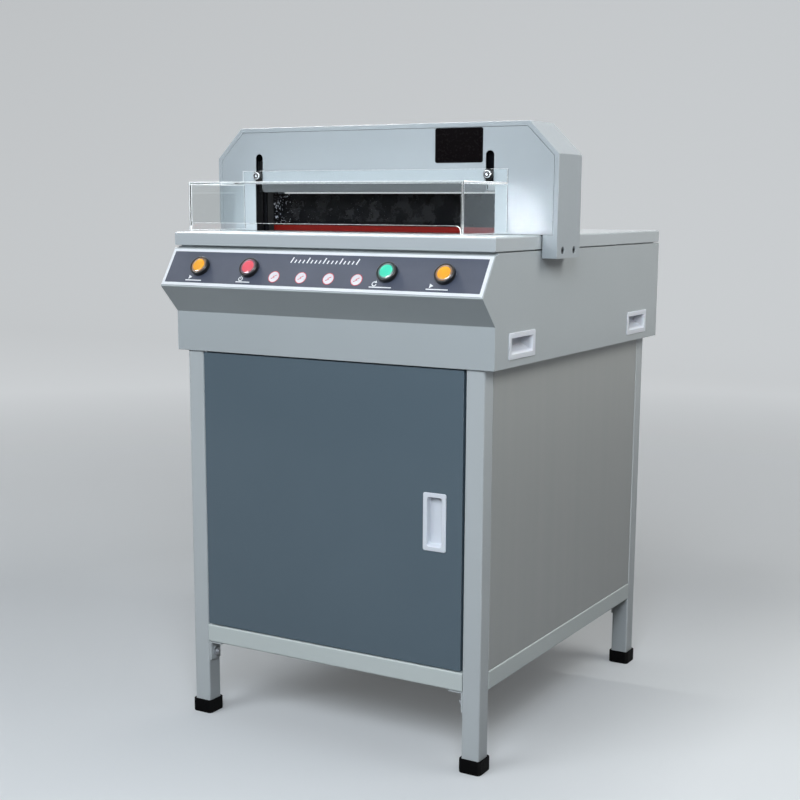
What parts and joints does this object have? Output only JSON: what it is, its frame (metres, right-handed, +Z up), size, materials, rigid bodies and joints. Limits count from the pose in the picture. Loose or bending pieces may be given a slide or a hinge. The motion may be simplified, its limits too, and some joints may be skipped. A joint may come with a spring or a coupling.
{
  "type": "electric paper cutter",
  "caption": "Free-standing electric paper cutter: a gantry with knife, clamp and clear guard over a feed table, a sloped push-button console and a cabinet stand.",
  "frame": {"origin": "on the floor, under the middle of the machine's width and depth", "axes": "+X to the operator's right, +Y from the operator towards the back, +Z up"},
  "size_m": [0.6656, 0.746, 1.036],
  "materials": {
    "stand_paint": "light grey-blue textured powder coat",
    "door_paint": "slate satin paint",
    "casing_paint": "light grey-blue textured powder coat",
    "panel_paint": "grey paint",
    "inner_plate": "zinc-plated steel",
    "rubber_black": "moulded black",
    "white_plastic": "moulded white",
    "black_plastic": "moulded black",
    "panel_white": "white border",
    "overlay_grey": "printed film, dark grey",
    "disc_white": "white discs with a red rim",
    "button_yellow": "moulded amber",
    "button_red": "moulded red",
    "button_green": "moulded green",
    "table_paint": "light grey-blue textured powder coat",
    "bed_iron": "machined cast iron",
    "stick_red": "extruded red",
    "steel": "ground steel",
    "dark_steel": "black oxide",
    "clear_acrylic": "clear acrylic",
    "bright_bolt": "nickel plated",
    "gauge_black": "dark gloss paint",
    "motor_paint": "dark grey enamel",
    "bronze": "machined bronze"
  },
  "bodies": {
    "machine": {"stand_legs": "stand_paint", "rubber_foot_caps": "rubber_black", "bottom_rails": "stand_paint", "top_rails": "stand_paint", "corner_brackets": "stand_paint", "bracket_bolts": "inner_plate", "side_panels": "panel_paint", "cabinet_back_panel": "panel_paint", "cabinet_floor": "panel_paint", "door_pivot_pins": "bright_bolt", "door_catch": "black_plastic", "body_casing": "casing_paint", "base_pan": "inner_plate", "side_frames": "inner_plate", "hand_cups": "white_plastic", "power_inlet": "black_plastic", "control_box": "inner_plate", "console_panel": "panel_white", "console_overlay": "overlay_grey", "button_bezels": "black_plastic", "indicator_discs": "disc_white", "front_table": "table_paint", "rear_table": "table_paint", "knife_bed": "bed_iron", "cutting_stick": "stick_red", "gantry_shell": "casing_paint", "gantry_front_plate": "casing_paint", "gantry_rear_plate": "casing_paint", "gantry_frame": "bed_iron", "gantry_side_screws": "dark_steel", "knife_bridge": "steel", "worm_gearbox": "motor_paint", "knife_motor": "motor_paint", "clamp_motor": "motor_paint", "gauge_screw_mounts": "inner_plate", "gauge_motor": "motor_paint"},
    "door": {"cabinet_door": "door_paint", "door_pull": "white_plastic"},
    "left_cut_button": {"cut_button_left": "button_yellow"},
    "red_stop_button": {"red_button": "button_red"},
    "green_start_button": {"green_button": "button_green"},
    "right_cut_button": {"cut_button_right": "button_yellow"},
    "guard": {"guard_shield": "clear_acrylic", "guard_bolts": "bright_bolt", "guard_washers": "black_plastic", "guard_slide_blocks": "inner_plate"},
    "knife": {"knife_carriage": "steel", "knife_blade": "steel", "knife_bolts": "dark_steel", "knife_pull_rod": "steel"},
    "knife_nut": {"drive_nut": "bronze"},
    "knife_screw": {"drive_screw": "steel"},
    "clamp": {"clamp_bar": "steel", "clamp_yoke": "steel"},
    "clamp_spindle": {"clamp_screw": "steel"},
    "gauge": {"back_gauge": "gauge_black", "gauge_sole": "stick_red", "gauge_nut_arm": "steel"},
    "gauge_spindle": {"gauge_screw": "steel"}
  },
  "joints": [
    {"name": "door_hinge", "type": "hinge", "parent": "machine", "child": "door", "pos_m": [-0.2504, -0.322, 0.4], "axis": [0, 0, -1], "range_deg": [0, 110]},
    {"name": "left_cut_press", "type": "slide", "parent": "machine", "child": "left_cut_button", "axis": [0, 0.8355, -0.5495], "range_m": [0, 0.003], "stiffness_N_per_m": 800, "springref_m": -0.002},
    {"name": "red_stop_press", "type": "slide", "parent": "machine", "child": "red_stop_button", "axis": [0, 0.8355, -0.5495], "range_m": [0, 0.003], "stiffness_N_per_m": 800, "springref_m": -0.002},
    {"name": "green_start_press", "type": "slide", "parent": "machine", "child": "green_start_button", "axis": [0, 0.8355, -0.5495], "range_m": [0, 0.003], "stiffness_N_per_m": 800, "springref_m": -0.002},
    {"name": "right_cut_press", "type": "slide", "parent": "machine", "child": "right_cut_button", "axis": [0, 0.8355, -0.5495], "range_m": [0, 0.003], "stiffness_N_per_m": 800, "springref_m": -0.002},
    {"name": "guard_lift", "type": "slide", "parent": "machine", "child": "guard", "axis": [0, 0, 1], "range_m": [0, 0.03]},
    {"name": "knife_stroke", "type": "slide", "parent": "machine", "child": "knife", "axis": [-0.3709, 0, -0.9287], "range_m": [0, 0.0754]},
    {"name": "knife_nut_travel", "type": "slide", "parent": "machine", "child": "knife_nut", "axis": [0, 0, -1], "range_m": [0, 0.0701]},
    {"name": "knife_screw_spin", "type": "hinge", "parent": "machine", "child": "knife_screw", "pos_m": [0.24, -0.1847, 0], "axis": [0, 0, 1], "range_deg": [0, 2521.3]},
    {"name": "clamp_travel", "type": "slide", "parent": "machine", "child": "clamp", "axis": [0, 0, -1], "range_m": [0, 0.0675]},
    {"name": "clamp_spindle_spin", "type": "hinge", "parent": "machine", "child": "clamp_spindle", "pos_m": [0, -0.1315, 0], "axis": [0, 0, 1], "range_deg": [0, 4860.5]},
    {"name": "gauge_travel", "type": "slide", "parent": "machine", "child": "gauge", "axis": [0, 1, 0], "range_m": [0, 0.37]},
    {"name": "gauge_spindle_spin", "type": "hinge", "parent": "machine", "child": "gauge_spindle", "pos_m": [-0.01555, 0, 0.795], "axis": [0, 1, 0], "range_deg": [0, 13320.5]}
  ],
  "couplings": [
    {"joint": "knife_nut_travel", "follows": "knife_stroke", "ratio": 0.92866},
    {"joint": "knife_screw_spin", "follows": "knife_stroke", "rad_per_m": 583.49},
    {"joint": "clamp_spindle_spin", "follows": "clamp_travel", "rad_per_m": 1256.6},
    {"joint": "gauge_spindle_spin", "follows": "gauge_travel", "rad_per_m": 628.32}
  ]
}
